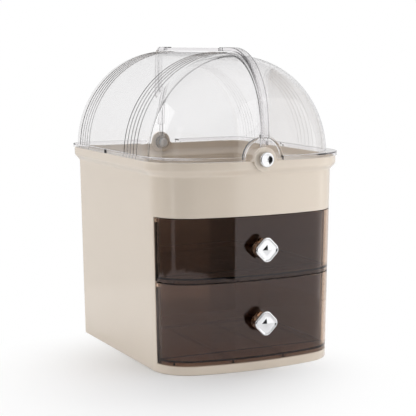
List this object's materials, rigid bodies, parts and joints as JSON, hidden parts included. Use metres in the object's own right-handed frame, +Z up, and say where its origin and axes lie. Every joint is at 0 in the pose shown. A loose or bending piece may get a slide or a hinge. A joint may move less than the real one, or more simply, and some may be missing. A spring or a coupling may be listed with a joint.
{
  "type": "makeup organizer",
  "caption": "Moulded makeup organizer with pull-out drawers, a top tray and a clear dome of nested swinging lids with a carrying handle.",
  "frame": {"origin": "on the table, under the middle of the body's base", "axes": "+X to the right seen from the front, +Y to the back, +Z up"},
  "size_m": [0.244, 0.3111, 0.365],
  "materials": {
    "beige_plastic": "glossy moulded plastic",
    "smoke_plastic": "smoky translucent plastic",
    "clear_plastic": "clear polished plastic",
    "chrome_trim": "bright plated",
    "steel": "plain steel"
  },
  "bodies": {
    "body": {"housing": "beige_plastic", "top_tray": "beige_plastic", "middle_shelf": "beige_plastic", "front_pivot_pin": "steel", "back_pivot_pin": "steel", "front_cap": "chrome_trim", "back_cap": "chrome_trim", "front_washers": "steel", "back_washers": "steel"},
    "left_lid": {"left_lid": "clear_plastic"},
    "right_lid": {"right_lid": "clear_plastic"},
    "handle": {"handle_front_arm": "clear_plastic", "handle_back_arm": "clear_plastic", "handle_grip": "clear_plastic", "handle_pins": "steel"},
    "upper_drawer": {"upper_drawer": "smoke_plastic", "upper_knob_stem": "smoke_plastic", "upper_knob_plate": "chrome_trim", "upper_knob_screw": "steel"},
    "lower_drawer": {"lower_drawer": "smoke_plastic", "lower_knob_stem": "smoke_plastic", "lower_knob_plate": "chrome_trim", "lower_knob_screw": "steel"}
  },
  "joints": [
    {"name": "left_lid_swing", "type": "hinge", "parent": "body", "child": "left_lid", "pos_m": [0, 0, 0.2418], "axis": [0, 1, 0], "range_deg": [0, 68]},
    {"name": "right_lid_swing", "type": "hinge", "parent": "body", "child": "right_lid", "pos_m": [0, 0, 0.2418], "axis": [0, 1, 0], "range_deg": [-68, 0]},
    {"name": "handle_swing", "type": "hinge", "parent": "body", "child": "handle", "pos_m": [0, 0, 0.2418], "axis": [0, 1, 0], "range_deg": [-70, 70]},
    {"name": "upper_drawer_slide", "type": "slide", "parent": "body", "child": "upper_drawer", "axis": [0, -1, 0], "range_m": [0, 0.13]},
    {"name": "lower_drawer_slide", "type": "slide", "parent": "body", "child": "lower_drawer", "axis": [0, -1, 0], "range_m": [0, 0.13]}
  ]
}
